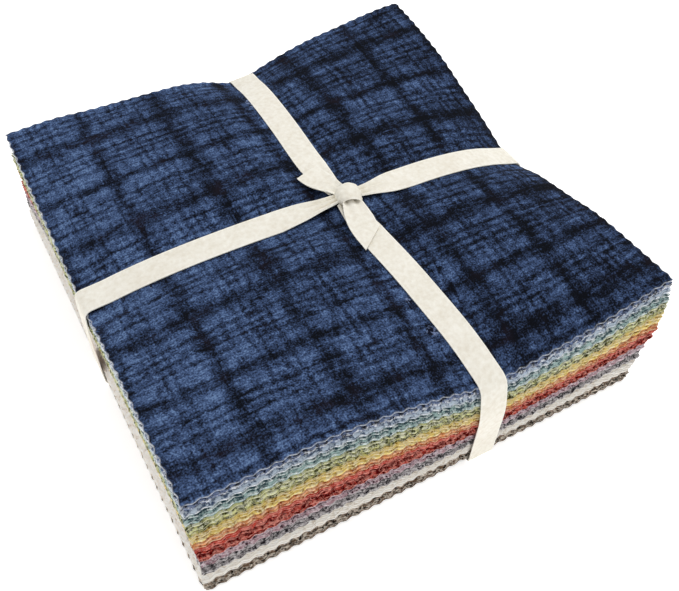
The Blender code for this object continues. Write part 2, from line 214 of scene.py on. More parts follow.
# %% How the middle follows the rims
def plateau(x, y):
    """The top without the tape: its four corners, and a slight swell between them."""
    u, v = x / SIDE + 0.5, y / SIDE + 0.5
    near = RIMS[0].front + (RIMS[-1].front - RIMS[0].front) * u
    far = RIMS[0].back + (RIMS[-1].back - RIMS[0].back) * u
    return (near + (far - near) * v) * MM + SWELL * 16 * u * (1 - u) * v * (1 - v)


def under_tape(x, y, slope):
    """1 where the tape presses and 0 where it doesn't, with the slope's width between."""
    beside_y = np.abs(x - y_run_at(y)) - TAPE_WIDTH / 2
    beside_x = np.abs(y - x_run_at(x)) - TAPE_WIDTH / 2
    return 1 - ease(0, slope, np.minimum(beside_y, beside_x))


def top_height(x, y):
    """How high the top of the stack is, above any point."""
    along_x, along_y = station_of(x, y_run_at(y)), station_of(y, x_run_at(x))
    rims = (
        (front_rim(along_x) - plateau(x, -HALF), y + HALF),
        (back_rim(along_x) - plateau(x, HALF), HALF - y),
        (left_rim(along_y) - plateau(-HALF, y), x + HALF),
        (right_rim(along_y) - plateau(HALF, y), HALF - x),
    )
    height = plateau(x, y)
    nearest = np.full_like(height, HALF)
    for notch, inwards in rims:
        inwards = np.maximum(inwards, 0)
        height = height + notch * np.exp(-inwards / NOTCH_REACH)
        nearest = np.minimum(nearest, inwards)
    press = under_tape(x, y, GROOVE_SLOPE)
    return height - press * GROOVE_DEPTH * (1 - np.exp(-nearest / NOTCH_REACH))


def base_height(x, y):
    """The underside: flat on the floor, and lifted where the tape runs under it."""
    return UNDER_LIFT * under_tape(x, y, UNDER_SLOPE)


middle = np.array([0.0])
print("height in the middle", round(float(top_height(middle, middle)[0]), 4))

# %% [markdown]
# ## Layers that never cross
#
# A pile of a hundred cloths is hard to simulate and easy to state: square number n lies at the n-th
# share of the height between underside and top, so no two can cut through each other. What makes a
# real pile look alive is added to that rule: every square has slipped and turned a little, and its
# rim ripples by a few tenths of a millimetre, a little differently from the one below. The tied
# tape has also pulled the upper squares askew at the right and back, and the weight of the pile has
# spread the lowest ones at the front and left.

# %% How a point at any level is lifted
RIPPLE = 0.24 * MM
RIPPLE_REACH = 16 * MM
Wave = namedtuple("Wave", "pitch drift share")
WAVES = (Wave(61 * MM, 17.0, 1.0), Wave(37 * MM, -23.0, 0.8), Wave(23 * MM, 31.0, 0.6))


def ripple(x, y, level):
    """A small up and down of the rims that changes slowly from square to square."""
    inwards = HALF - np.maximum(np.abs(x), np.abs(y))
    around = np.where(np.abs(x) > np.abs(y), y + 2 * x, x - 2 * y)
    total = 0.0
    for wave in WAVES:
        total = total + wave.share * np.sin(around / wave.pitch * math.tau + wave.drift * level)
    return RIPPLE * total * np.exp(-np.maximum(inwards, 0) / RIPPLE_REACH) * math.sin(math.pi * level)


def lifted(x, y, level):
    """The height of the surface at a share of the stack's height."""
    base, top = base_height(x, y), top_height(x, y)
    return base + (top - base) * level + ripple(x, y, level)


# %% How the tape has pulled the upper squares askew
RIGHT_PULL = Vector((0.8, 0.9)) * MM
BACK_PULL = 0.6 * MM
CORNER_PULL = Vector((-1.9, 2.1)) * MM


def askew(u, v, level):
    """How far a place of a square has moved, as two lists: the right side most, the left side least."""
    right, back = np.clip(u / SIDE + 0.5, 0, 1), np.clip(v / SIDE + 0.5, 0, 1)
    share = float(ease(0.55, 0.95, level))
    x = right ** 2 * (RIGHT_PULL.x * (1 - back) + CORNER_PULL.x * back)
    y = right ** 3 * RIGHT_PULL.y * (1 - back) + back * (BACK_PULL + (CORNER_PULL.y - BACK_PULL) * right ** 2)
    return share * x, share * y


# %% How the lowest squares have spread under the weight
BASE_SPREAD = {"front": 0.9 * MM, "right": 0.0, "back": 0.0, "left": 1.0 * MM}


def spread_at(level):
    """How far the squares of a level stand out further at each side."""
    share = float(1 - ease(0.18, 0.48, level))
    return {side: share * reach for side, reach in BASE_SPREAD.items()}


# %% [markdown]
# ## The pinked blank
#
# Every square is cut from a flat pattern: an outline with several points to a tooth, rings of points
# a little way in, and a net in the middle. The net is coarse in the squares that others cover, and
# fine in the one on top. The triangles between the points come from a Delaunay net. The teeth
# aren't in the blank: they are pressed in afterwards, so that each square can have them at its own
# place along the edge.

# %% Cut the flat pattern
LIP = 0.5 * MM
TOOTH_ROOM = 3.2 * MM

Blank = namedtuple("Blank", "u v triangles rim")


def square_ring(inset, steps):
    """Points round a square that lies the inset inside the cut edge."""
    reach = HALF - inset
    ring = []
    for quarter in range(4):
        cos, sin = round(math.cos(quarter * math.pi / 2)), round(math.sin(quarter * math.pi / 2))
        for step in range(steps):
            along = -reach + 2 * reach * step / steps
            ring.append((along * cos + reach * sin, along * sin - reach * cos))
    return ring


def cut_blank(per_tooth, rings, cells):
    """A flat pattern: the outline, inner rings as (inset, steps) and a net of cells in the middle."""
    outline = square_ring(0, TEETH * per_tooth)
    points = list(outline)
    for inset, steps in rings:
        points += square_ring(inset, steps)
    reach = HALF - rings[-1][0]
    for i in range(1, cells):
        for j in range(1, cells):
            points.append((-reach + 2 * reach * i / cells, -reach + 2 * reach * j / cells))
    edge = [list(range(len(outline)))]
    found = delaunay_2d_cdt([Vector(p) for p in points], [], edge, 1, 1e-7)
    net, faces = found[0], found[2]
    u, v = np.array([tuple(p) for p in net]).T
    triangles = np.array([face for face in faces])
    corners = [np.stack((u[triangles[:, k]], v[triangles[:, k]])) for k in range(3)]
    (ax, ay), (bx, by), (cx, cy) = corners
    wrong = (bx - ax) * (cy - ay) - (by - ay) * (cx - ax) < 0
    triangles[wrong] = triangles[wrong][:, ::-1]
    return Blank(u, v, triangles, np.arange(len(outline)))


hidden_blank = cut_blank(5, ((TOOTH_ROOM, TEETH), (12 * MM, 24)), 12)
cover_blank = cut_blank(8, ((LIP, TEETH * 8), (TOOTH_ROOM, TEETH * 3)), 104)
print("blank:", len(hidden_blank.triangles), "triangles a side, cover:", len(cover_blank.triangles))

# %% [markdown]
# ## From blank to square
#
# The blank becomes a closed cloth with an upper face, a lower face and a rounded cut edge between
# them. A Solidify modifier gives a thickness too, but here the two faces follow two levels of the
# stack, so they are laid one by one. A square's cutting says where the teeth start on each side,
# how far each side is trimmed and how far the left end is drawn in. Three numbers travel with each
# point for the paint later: how much of the cut shows there, how much painted shade darkens it for
# the shadow in the gaps between the squares, and how dark this one square was printed.

# %% A helper that makes a piece of cloth
def cloth_piece(name, places, faces, flat):
    """An object from points and faces, with a map of where each point lies on the flat cloth."""
    mesh = bpy.data.meshes.new(name)
    mesh.from_pydata(places.tolist(), [], faces)
    mesh.update()
    corners = np.zeros(len(mesh.loops), int)
    mesh.loops.foreach_get("vertex_index", corners)
    mesh.uv_layers.new(name="cloth").data.foreach_set("uv", flat[corners].ravel())
    piece = bpy.data.objects.new(name, mesh)
    bpy.context.collection.objects.link(piece)
    return piece


# %% Press the teeth into a blank
Cutting = namedtuple("Cutting", "phases trims waist")
WAIST_ROOM = 12 * MM


def tooth(place, phase):
    """The zigzag of the shears: 0 at a tip and 1 in a valley, slightly rounded."""
    t = np.mod(place / TOOTH_PITCH + phase, 1.0)
    return 0.55 * (1 - np.abs(2 * t - 1)) + 0.45 * (0.5 - 0.5 * np.cos(t * math.tau))


def press_teeth(u, v, cutting):
    """Moves the points near each side to its teeth, which swing to both sides of the cut line."""
    moves = []
    for side, along, phase, trim in zip((v, -u, -v, u), (u, v, u, v), cutting.phases, cutting.trims):
        share = 1 - np.clip((HALF + side - LIP) / (TOOTH_ROOM - LIP), 0, 1)
        moves.append(share * (TOOTH_DEPTH * (tooth(along, phase) - 0.5) + trim))
    front, right, back, left = moves
    left = left + cutting.waist * (1 - (v / HALF) ** 4) * (1 - np.clip((HALF + u) / WAIST_ROOM, 0, 1))
    return u - right + left, v + front - back


# %% Lay a square into the stack
# A square's look: its print's shade, its share of pale cut, the share at the ends (partly painted sheen), the
# painted shade under the squares above, and the painted shade inside the cut from the packet above.
Look = namedtuple("Look", "shade fray ends deep rim")
CUT_BULGE = 0.10 * MM
EDGE_TUCK = 0.16


def edge_paint(blank, look):
    """How much of the pale cut shows at each point, and how much painted shade darkens it, for the shadow in
    the gaps between the squares.
    """
    count, rim = len(blank.u), blank.rim
    top_edge, low_edge, middle_edge = rim, rim + count, np.arange(len(rim)) + 2 * count
    pale, deep = np.zeros(2 * count + len(rim)), np.zeros(2 * count + len(rim))
    # The left and right ends are painted paler and with less painted shade: partly their paler cut across the
    # other yarns, partly painted sheen of fibres seen at a slant.
    ends = np.abs(blank.u[rim]) > np.abs(blank.v[rim])
    fray = np.where(ends, look.ends, look.fray)
    pale[top_edge] = fray * np.where(ends, 0.6, 0.3)
    pale[middle_edge] = fray
    pale[low_edge] = fray * 0.95
    # Painted shade: full on the underside, and at the cut edge strongest on the lowest square of a packet,
    # for the shadow under the squares above it.
    deep[count:2 * count] = 1.0
    # Painted shade just inside the cut of a packet's uppermost square, for the shadow of the packet above;
    # none at the ends.
    deep[top_edge] = np.where(ends, 0.0, look.rim)
    deep[middle_edge] = np.where(ends, 0.1, look.deep * 0.35)
    deep[low_edge] = np.where(ends, 0.4, 0.05 + look.deep * 0.4)
    return pale, deep


def lay_square(name, blank, under, over, slip, cutting, look):
    """One closed square between two levels, slipped and turned in the stack."""
    flat_u, flat_v = press_teeth(blank.u, blank.v, cutting)
    pulled_x, pulled_y = askew(flat_u, flat_v, over)
    x = flat_u * math.cos(slip.z) - flat_v * math.sin(slip.z) + slip.x + pulled_x
    y = flat_u * math.sin(slip.z) + flat_v * math.cos(slip.z) + slip.y + pulled_y
    top, bottom = lifted(x, y, over), lifted(x, y, under)
    count, rim = len(x), blank.rim
    thick = top - bottom
    top[rim] -= EDGE_TUCK * thick[rim]
    bottom[rim] += EDGE_TUCK * thick[rim]
    outwards = np.stack((x[rim] - slip.x, y[rim] - slip.y))
    outwards = outwards / np.linalg.norm(outwards, axis=0) * CUT_BULGE
    edge = np.stack((x[rim] + outwards[0], y[rim] + outwards[1], (top[rim] + bottom[rim]) / 2), 1)
    places = np.concatenate((np.stack((x, y, top), 1), np.stack((x, y, bottom), 1), edge))
    places[:, :2] += CENTRE[:2]
    following = np.roll(np.arange(len(rim)), -1)
    top_edge, low_edge, middle_edge = rim, rim + count, np.arange(len(rim)) + 2 * count
    faces = [tuple(t) for t in blank.triangles.tolist()]
    faces += [tuple(t) for t in (blank.triangles[:, ::-1] + count).tolist()]
    for high, low in ((top_edge, middle_edge), (middle_edge, low_edge)):
        faces += np.stack((low, low[following], high[following], high), 1).tolist()
    flat = np.stack((blank.u, blank.v), 1) / SIDE + 0.5
    piece = cloth_piece(name, places, faces, np.concatenate((flat, flat, flat[rim])))
    pale, deep = edge_paint(blank, look)
    for label, values in (("pale", pale), ("deep", deep), ("shade", np.full(len(places), look.shade))):
        piece.data.attributes.new(label, "FLOAT", "POINT").data.foreach_set("value", values)
    piece.data.polygons.foreach_set("use_smooth", [True] * len(faces))
    return piece


# %% [markdown]
# ## A little language for shaders
#
# A shader is arithmetic on values that change over the surface. Written as nodes it is long, and
# written as an expression it is a line. `Wire` wraps one output, and each operator on it adds the
# Math node that does the sum. `Finish` holds one material and adds every other kind of node.

# %% A wire that can be reckoned with
class Wire:
    """The output of a node that can be added, multiplied and compared."""

    def __init__(self, finish, socket):
        self.finish, self.socket = finish, socket

    def math(self, operation, *values, clamp=False):
        settings = {"operation": operation, "use_clamp": clamp}
        return self.finish.node("ShaderNodeMath", settings, dict(enumerate(values)))

    def __add__(self, other):
        return self.math("ADD", self, other)

    def __sub__(self, other):
        return self.math("SUBTRACT", self, other)

    def __rsub__(self, other):
        return self.math("SUBTRACT", other, self)

    def __mul__(self, other):
        return self.math("MULTIPLY", self, other)

    __radd__, __rmul__ = __add__, __mul__

    def clamped(self):
        return self.math("ADD", self, 0.0, clamp=True)

    def absolute(self):
        return self.math("ABSOLUTE", self)

    def wrapped(self):
        return self.math("FRACT", self)

    def sine(self):
        return self.math("SINE", self)

    def step(self, low, high):
        """0 below low, 1 above high and a soft step between."""
        sockets = {"Value": self, "From Min": low, "From Max": high}
        return self.finish.node("ShaderNodeMapRange", {"interpolation_type": "SMOOTHSTEP"}, sockets)


# %% A finish that is built up from nodes
class Finish:
    """A material that is built up from nodes."""

    def __init__(self, name):
        self.material = bpy.data.materials.new(name)
        self.material.use_nodes = True
        self.tree = self.material.node_tree
        self.shader = self.tree.nodes["Principled BSDF"]

    def node(self, kind, settings=None, sockets=None, output=0):
        """Adds a node: its settings first, then its sockets, as values or as wires."""
        made = self.tree.nodes.new(kind)
        for key, value in (settings or {}).items():
            if key == "stops":
                self.set_stops(made.color_ramp, value)
            else:
                setattr(made, key, value)
        for key, value in (sockets or {}).items():
            self.plug(made.inputs[key], value)
        return Wire(self, made.outputs[output])

    def set_stops(self, ramp, stops):
        """Puts the stops of a ramp where (place, grey or colour) pairs say."""
        while len(ramp.elements) < len(stops):
            ramp.elements.new(1.0)
        for element, (place, colour) in zip(ramp.elements, stops):
            element.position = place
            element.color = (colour, colour, colour, 1) if isinstance(colour, float) else (*colour, 1)

    def plug(self, socket, value):
        if isinstance(value, Wire):
            self.tree.links.new(value.socket, socket)
        elif hasattr(value, "__len__") and len(value) == 3 and socket.type == "RGBA":
            socket.default_value = (*value, 1.0)
        else:
            socket.default_value = value

    def attribute(self, name):
        """A number that travels with the mesh."""
        return self.node("ShaderNodeAttribute", {"attribute_name": name}, output="Fac")

    def noise(self, scale, detail=2.0, vector=None, roughness=0.5):
        """Noise with about one blob in each 1/scale metres."""
        sockets = {"Scale": scale, "Detail": detail, "Roughness": roughness}
        sockets["Vector"] = vector or self.places()
        return self.node("ShaderNodeTexNoise", None, sockets, "Fac")

    def places(self):
        return self.node("ShaderNodeTexCoord", output="Object")

    def flat_cloth(self):
        """Where a point lies on the flat cloth, along it and across it."""
        parts = self.tree.nodes.new("ShaderNodeSeparateXYZ")
        self.plug(parts.inputs[0], self.node("ShaderNodeUVMap", {"uv_map": "cloth"}))
        return Wire(self, parts.outputs[0]), Wire(self, parts.outputs[1])

    def ramp(self, stops, place):
        """A grey or a colour that is looked up between stops."""
        return self.node("ShaderNodeValToRGB", {"stops": stops}, {0: place})

    def mix(self, share, first, second):
        """A colour between two."""
        settings = {"data_type": "RGBA", "clamp_factor": True}
        return self.node("ShaderNodeMix", settings, {0: share, 6: first, 7: second}, 2)

    def set(self, **values):
        """Sets the shader's own sockets, with underscores for the spaces in their names."""
        for key, value in values.items():
            self.plug(self.shader.inputs[key.replace("_", " ")], value)
        return self.material

    def bump(self, height, strength, distance):
        """Turns a height into small dents."""
        sockets = {"Height": height, "Strength": strength, "Distance": distance}
        return self.node("ShaderNodeBump", None, sockets)


def dye(red, green, blue):
    """A colour from a dyer's card, 0 to 255, as the light-linear numbers that a shader wants."""
    channels = [c / 255 for c in (red, green, blue)]
    return tuple(((c + 0.055) / 1.055) ** 2.4 if c > 0.04 else c / 12.92 for c in channels)


# %% [markdown]
# ## Dyes
#
# Twelve bands of colour, from the floor up. A band has a light and a dark print, and the colour of
# the cut, where the undyed middle of the yarns shows. The squares come in pairs of one print, so
# the shade is listed for each sheet of the frame: 0 is the light print and 1 is the dark one. Only
# the edges of these squares show, so the prints need no drawing, and noise gives their heather.

# %% The dye card
Dye = namedtuple("Dye", "light dark cut shades")
DYES = {
    "brown": Dye(dye(128, 104, 84), dye(18, 12, 10), dye(236, 224, 208), (0.8, 0.6, 0.8, 0.5, 0.5)),
    "cream": Dye(dye(252, 246, 236), dye(218, 206, 190), dye(255, 254, 250), (0.4, 0, 0.2, 0, 0.1, 0, 0.5)),
    "charcoal": Dye(dye(174, 168, 168), dye(34, 30, 36), dye(240, 236, 236), (0.2, 0.5, 0.8, 0.7)),
    "mauve": Dye(dye(206, 170, 178), dye(62, 30, 44), dye(244, 230, 236), (0.8, 0.5, 0.4, 0.4, 0.6)),
    "red": Dye(
        dye(212, 80, 66), dye(92, 0, 4), dye(246, 164, 148), (0.6, 0.8, 1.0, 1.0, 1.0, 1.1, 0.9, 0.1, -0.2),
    ),
    "orange": Dye(dye(232, 160, 104), dye(150, 62, 30), dye(250, 214, 178), (0.4, 0.5, 0.2)),
    "gold": Dye(dye(248, 222, 132), dye(150, 108, 24), dye(252, 240, 200), (0.5, 0.2, 0.3, 0.1)),
    "olive": Dye(dye(196, 190, 112), dye(40, 40, 14), dye(226, 222, 184), (0.9, 0.6)),
    "sage": Dye(dye(222, 222, 158), dye(62, 66, 28), dye(234, 234, 208), (0.4, 0.6, 0.3)),
    "aqua": Dye(dye(166, 192, 188), dye(40, 68, 76), dye(232, 240, 238), (0.5, 0.3, 0.7)),
    "sky": Dye(dye(192, 206, 220), dye(60, 78, 106), dye(246, 249, 252), (0.2, 0.4)),
    "navy": Dye(dye(112, 128, 164), dye(12, 16, 32), dye(240, 244, 250), (0.4, 0.2, 0.4)),
}


def flannel(name, colours):
    """Brushed cotton: heathered yarns, a pale fraying cut, a soft nap and painted shade in the gaps between
    the squares.
    """
    cloth = Finish(name)
    heather = cloth.noise(430, 3.0, roughness=0.7)
    cloudy = cloth.noise(95, 2.0)
    fray = cloth.noise(480, 3.0, roughness=0.8)
    shade = cloth.attribute("shade")
    tone = (shade + (heather - 0.5) * 8.0 + (cloudy - 0.5) * 1.0).clamped()
    printed = cloth.mix(tone, colours.light, colours.dark)
    pale = cloth.attribute("pale")
    show = (pale + (fray - 0.5) * (pale.step(0.0, 0.25) * 7.0)).clamped()
    colour = cloth.mix(show, printed, colours.cut)
    # Painted shade: where a square lies in the shadow under the squares above it, its colour is darkened
    # towards its dark print.
    painted_shade = (cloth.attribute("deep") * 0.8).clamped()
    colour = cloth.mix(painted_shade, colour, tuple(channel * 0.4 for channel in colours.dark))
    dents = cloth.bump(fray + heather, 0.6, 0.3 * MM)
    return cloth.set(Base_Color=colour, Roughness=1.0, Specular_IOR_Level=0.12, Normal=dents)


flannels = {band: flannel(f"{band}_flannel", colours) for band, colours in DYES.items()}
print("dyed", len(flannels), "bands")

# %% [markdown]
# ## The cover's shadow plaid
#
# The top square is the one that everybody sees: a navy shadow plaid. Bars of darker yarn cross at
# right angles, and where two meet the cloth is nearly black. Brushing has smeared them along the
# yarns, so each bar is broken into short streaks. The bars are a ramp's stops over one repeat of
# the plaid, and the repeat differs in the two directions, so that no two checks look the same. A
# picture of a plaid would blur from near, and needs a file: bars and noise need neither.

# %% The bars and the blues of the plaid
Bar = namedtuple("Bar", "centre width depth")
ACROSS_REPEAT = 86 * MM
ACROSS_BARS = (
    Bar(0.040, 0.030, 0.55), Bar(0.092, 0.030, 0.70), Bar(0.146, 0.030, 0.60), Bar(0.200, 0.030, 0.75),
    Bar(0.345, 0.150, 0.98), Bar(0.505, 0.030, 0.60), Bar(0.560, 0.032, 0.75), Bar(0.618, 0.030, 0.60),
    Bar(0.830, 0.100, 1.05), Bar(0.945, 0.034, 0.50),
)
ALONG_REPEAT = 71 * MM
ALONG_BARS = (
    Bar(0.060, 0.034, 0.65), Bar(0.122, 0.036, 0.80), Bar(0.186, 0.034, 0.65), Bar(0.250, 0.036, 0.80),
    Bar(0.420, 0.160, 1.00), Bar(0.575, 0.034, 0.70), Bar(0.640, 0.036, 0.60), Bar(0.705, 0.036, 0.85),
    Bar(0.885, 0.090, 1.05),
)
BAR_FADE = 0.68
BLUES = (
    (0.00, dye(104, 130, 170)), (0.20, dye(77, 99, 139)), (0.40, dye(58, 76, 111)),
    (0.60, dye(40, 53, 79)), (0.80, dye(22, 29, 46)), (1.00, dye(6, 9, 17)),
)
PURPLE = dye(42, 31, 42)
# A very dark blue for the painted shade under the cover's rim.
CREVICE_SHADE_BLUE = dye(12, 14, 26)


# %% Weave the plaid
def bar_stops(bars):
    """The stops of a ramp that is dark where the bars are."""
    stops = [(0.0, 0.0)]
    for bar in bars:
        stops.append((bar.centre - bar.width * BAR_FADE, 0.0))
        stops.append((bar.centre, bar.depth))
        stops.append((bar.centre + bar.width * BAR_FADE, 0.0))
    return stops + [(1.0, 0.0)]


def plaid_flannel(name):
    """Brushed cotton with bars of darker yarn both ways, smeared along the yarns, painted lighter towards the
    left and with painted shade under its rim.
    """
    cloth = Finish(name)
    u, v = [part * SIDE for part in cloth.flat_cloth()]

    def grain(along_u, along_v, seed, detail=2.0):
        """Noise with the given blobs a metre in each direction of the cloth."""
        stretched = cloth.node("ShaderNodeCombineXYZ", None, {0: u * along_u, 1: v * along_v, 2: seed})
        return cloth.noise(1.0, detail, stretched, 0.6)

    sway, smear = grain(55, 55, 1.0) - 0.5, grain(330, 330, 2.0, 4.0) - 0.5
    sway_too, smear_too = grain(55, 55, 3.0) - 0.5, grain(330, 330, 4.0, 4.0) - 0.5
    weft, warp = grain(110, 520, 5.0, 3.0), grain(520, 110, 6.0, 3.0)
    dashes, dashes_too = grain(95, 240, 7.0).step(0.34, 0.62), grain(240, 95, 8.0).step(0.34, 0.66)
    upright = (u + sway * 0.0045 + smear * 0.0085) * (1 / ACROSS_REPEAT) + 0.37
    level = (v + sway_too * 0.0045 + smear_too * 0.0060) * (1 / ALONG_REPEAT) + 0.21
    upright = (cloth.ramp(bar_stops(ACROSS_BARS), upright.wrapped()) * (0.45 + dashes_too * 0.65)).clamped()
    level = (cloth.ramp(bar_stops(ALONG_BARS), level.wrapped()) * (0.5 + dashes * 0.65)).clamped()
    dark = 1 - (1 - upright * 0.60) * (1 - level * 0.56)
    nap = grain(1150, 1150, 9.0, 4.0)
    smudge = grain(230, 230, 12.0, 3.0)
    cloudy = grain(42, 42, 10.0)
    # Painted light: the cloth is painted lighter towards the left and darker towards the right, for the light
    # and sheen that fall more on the left.
    tone = 0.27 + u * (0.25 / SIDE) + dark * 0.92 + (nap - 0.5) * 2.0
    tone = tone + (weft - 0.5) * 1.0 + (warp - 0.5) * 0.7
    tone = (tone + (smudge - 0.5) * 0.6 + (cloudy - 0.5) * 0.5).clamped()
    blue = cloth.ramp(BLUES, tone)
    purple = (grain(34, 34, 11.0).step(0.5, 0.66) * dark.step(0.3, 0.8) * 0.35).clamped()
    blue = cloth.mix(purple, blue, PURPLE)
    fray = cloth.noise(690, 3.0, roughness=0.75)
    pale = cloth.attribute("pale")
    show = (pale + (fray - 0.5) * (pale.step(0.0, 0.3) * 1.6)).clamped()
    colour = cloth.mix(show, blue, DYES["navy"].cut)
    # Painted shade: the cover's underside and the lower part of its cut edge are darkened towards a very dark
    # blue, for the shadow beneath its rim.
    colour = cloth.mix(cloth.attribute("deep") * 0.8, colour, CREVICE_SHADE_BLUE)
    dents = cloth.bump(nap + weft * 0.8 + warp * 0.5, 0.5, 0.3 * MM)
    return cloth.set(Base_Color=colour, Roughness=1.0, Specular_IOR_Level=0.12, Normal=dents)


plaid = plaid_flannel("navy_plaid_flannel")

# %% [markdown]
# ## Stacking
#
# Two squares stand for each sheet of the frame, and follow the middle of their sheet. Squares of one
# print are cut two or three at a time, so such a packet shares its teeth, its trim and its shade.
# From packet to packet the teeth start elsewhere and the rim steps in or out by a few tenths of a
# millimetre, which leaves the dark and light lines on the sides of the stack, and painted shade darkens
# the lowest square of each packet for the shadow under the ones above it. Within a packet each
# square stands out a little further than the one below and shows more of its pale cut, and just
# inside the cut of the uppermost a painted shade stands for the shadow of the packet above. The left
# and right ends are cut across the other yarns and are painted paler, partly for their paler cut and
# partly as painted sheen of the fibres seen at a slant, and in the middle of the left end the squares
# are drawn in a little behind the tape.

# %% Cut a packet of squares
SHUFFLE = random.Random(7)
MOST_TRIM = 0.7 * MM
PACKET_TRIM = 0.30 * MM
PACKET_TURN = math.radians(0.06)
PHASE_WALK = 0.07
SHADE_SPREAD = 0.25

Packet = namedtuple("Packet", "count trims phases turn shade")


def cut_packet(phases):
    """The next packet: its trims and teeth differ a little from those of the one below."""
    count = SHUFFLE.choice((2, 3, 3))
    trims = [max(-MOST_TRIM, min(MOST_TRIM, SHUFFLE.gauss(0, PACKET_TRIM))) for _ in phases]
    phases = [phase + SHUFFLE.gauss(0, PHASE_WALK) for phase in phases]
    turn = SHUFFLE.gauss(0, PACKET_TURN)
    return Packet(count, trims, phases, turn, SHUFFLE.uniform(-SHADE_SPREAD, SHADE_SPREAD))


# %% Cut and paint one square of a packet
OVERHANG = 0.20 * MM
MOST_LEFT_OVERHANG = 0.15 * MM
LEFT_WAIST = 2.4 * MM
WAIST_BEGINS, WAIST_ENDS = (0.16, 0.26), (0.62, 0.72)
# The lowest square of a packet shows little pale cut and the most painted shade, for the shadow under the
# squares above it.
FRAYS = {2: (0.15, 1.0), 3: (0.15, 0.6, 1.0)}
COVER_FRAY = 0.9
DARK_FRAY_LOSS = 0.25
CREVICE_SHADES = (1.0, 0.2, 0.0)
# Painted shade just inside the cut of a packet's uppermost square, for the shadow of the packet above it.
PAINTED_RIM_SHADE = 0.36


def cut_square(level, packet, place):
    """The cutting of the square at a place in its packet, counted from the lowest."""
    step_in = OVERHANG * (1 - 2 * place / (packet.count - 1))
    spread = spread_at(level)
    trims = [trim + step_in for trim in packet.trims]
    trims[0] -= spread["front"]
    trims[3] = max(trims[3], -MOST_LEFT_OVERHANG) - spread["left"]
    waist = LEFT_WAIST * float(ease(*WAIST_BEGINS, level) * (1 - ease(*WAIST_ENDS, level)))
    return Cutting(packet.phases, trims, waist)


def paint_square(packet, place, shade, cover):
    """The look of the same square. Dark prints fray less pale; the uppermost of a packet gets painted shade
    inside its cut for the packet above, and the cover has no square above.
    """
    fray = COVER_FRAY if cover else FRAYS[packet.count][place]
    fray *= 1 - DARK_FRAY_LOSS * max(0.0, shade)
    rim = PAINTED_RIM_SHADE if place == packet.count - 1 and not cover else 0.0
    # The ends' paler cut is partly painted sheen of fibres seen at a slant.
    return Look(shade, fray, 0.5 + 0.4 * fray, CREVICE_SHADES[place], rim)


# %% Lay all the squares
SLIP_JITTER = 0.12 * MM
TURN_JITTER = math.radians(0.03)
THINNEST, THICKEST = 0.80, 0.95
CREVICE_FILL = 0.62
LAYER_TOP = 0.98
place, packet, last_band = 0, Packet(0, [], [0.5, 0.5, 0.5, 0.5], 0.0, 0.0), ""

for number in range(SQUARES):
    node = sheet_nodes[number // 2]
    band, nth = node.rsplit("_", 1)
    level = (number + 0.5) / SQUARES
    place += 1
    if place >= packet.count or band != last_band:
        packet = cut_packet(packet.phases)
        place = 0
    last_band = band
    slip = Vector(sheet_middles[number // 2]) - CENTRE
    slip.x += SHUFFLE.uniform(-SLIP_JITTER, SLIP_JITTER)
    slip.y += SHUFFLE.uniform(-SLIP_JITTER, SLIP_JITTER)
    slip.z = float(slip_at(level)[2]) + packet.turn + SHUFFLE.uniform(-TURN_JITTER, TURN_JITTER)
    fill = CREVICE_FILL if place == 0 else SHUFFLE.uniform(THINNEST, THICKEST)
    under, over = (number + LAYER_TOP - fill) / SQUARES, (number + LAYER_TOP) / SQUARES
    cover = number == SQUARES - 1
    cutting = cut_square(level, packet, place)
    if cover:
        cutting = cutting._replace(trims=[0, 0, 0, 0])
    look = paint_square(packet, place, DYES[band].shades[int(nth) - 1] + packet.shade, cover)
    name = "cover_square" if cover else f"{band}_square_{number + 1:03d}"
    piece = lay_square(name, cover_blank if cover else hidden_blank, under, over, slip, cutting, look)
    piece.data.materials.append(plaid if cover else flannels[band])
    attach(piece, "root")
    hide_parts(node)

# %% [markdown]
# ## The tape as a ribbon
#
# A ribbon is a row of cross-sections along a route. Each section has a middle, a direction across,
# a direction up and a width, and it can be crimped into pleats where a knot gathers the tape. A
# bevelled curve makes ribbons too, but its width, tilt and pleats are harder to vary on the way.

# %% A helper that weaves a ribbon along its sections
ACROSS_STEPS = 16
Section = namedtuple("Section", "middle across up width crimp", defaults=(0.0,))


def faces_between(rows, flipped=False):
    """The four-sided faces between rows of points that lie across the tape."""
    row = ACROSS_STEPS + 1
    faces = []
    for index in range(rows - 1):
        for a in range(index * row, index * row + ACROSS_STEPS):
            face = (a, a + row, a + row + 1, a + 1) if flipped else (a, a + 1, a + row + 1, a + row)
            faces.append(face)
    return faces


def ribbon(name, sections, start=0.0, pleats=2.5, skew=0.0):
    """A thin sheet through the sections. Skew slants its far cut end, in metres over its width."""
    places, flat = [], []
    travelled = start
    last = len(sections) - 1
    for index, section in enumerate(sections):
        if index:
            travelled += (section.middle - sections[index - 1].middle).length
        ahead = sections[min(index + 1, last)].middle - sections[max(index - 1, 0)].middle
        ahead.normalize()
        slant = skew * max(0.0, index / last * 2 - 1)
        for step in range(ACROSS_STEPS + 1):
            w = 2 * step / ACROSS_STEPS - 1
            crimp = section.crimp * math.cos(pleats * math.pi * w)
            side = section.across * (w * section.width / 2)
            places.append(section.middle + side + section.up * crimp + ahead * (slant * w / 2))
            flat.append((travelled + slant * w / 2, step / ACROSS_STEPS))
    return cloth_piece(name, np.array(places), faces_between(len(sections)), np.array(flat)), travelled


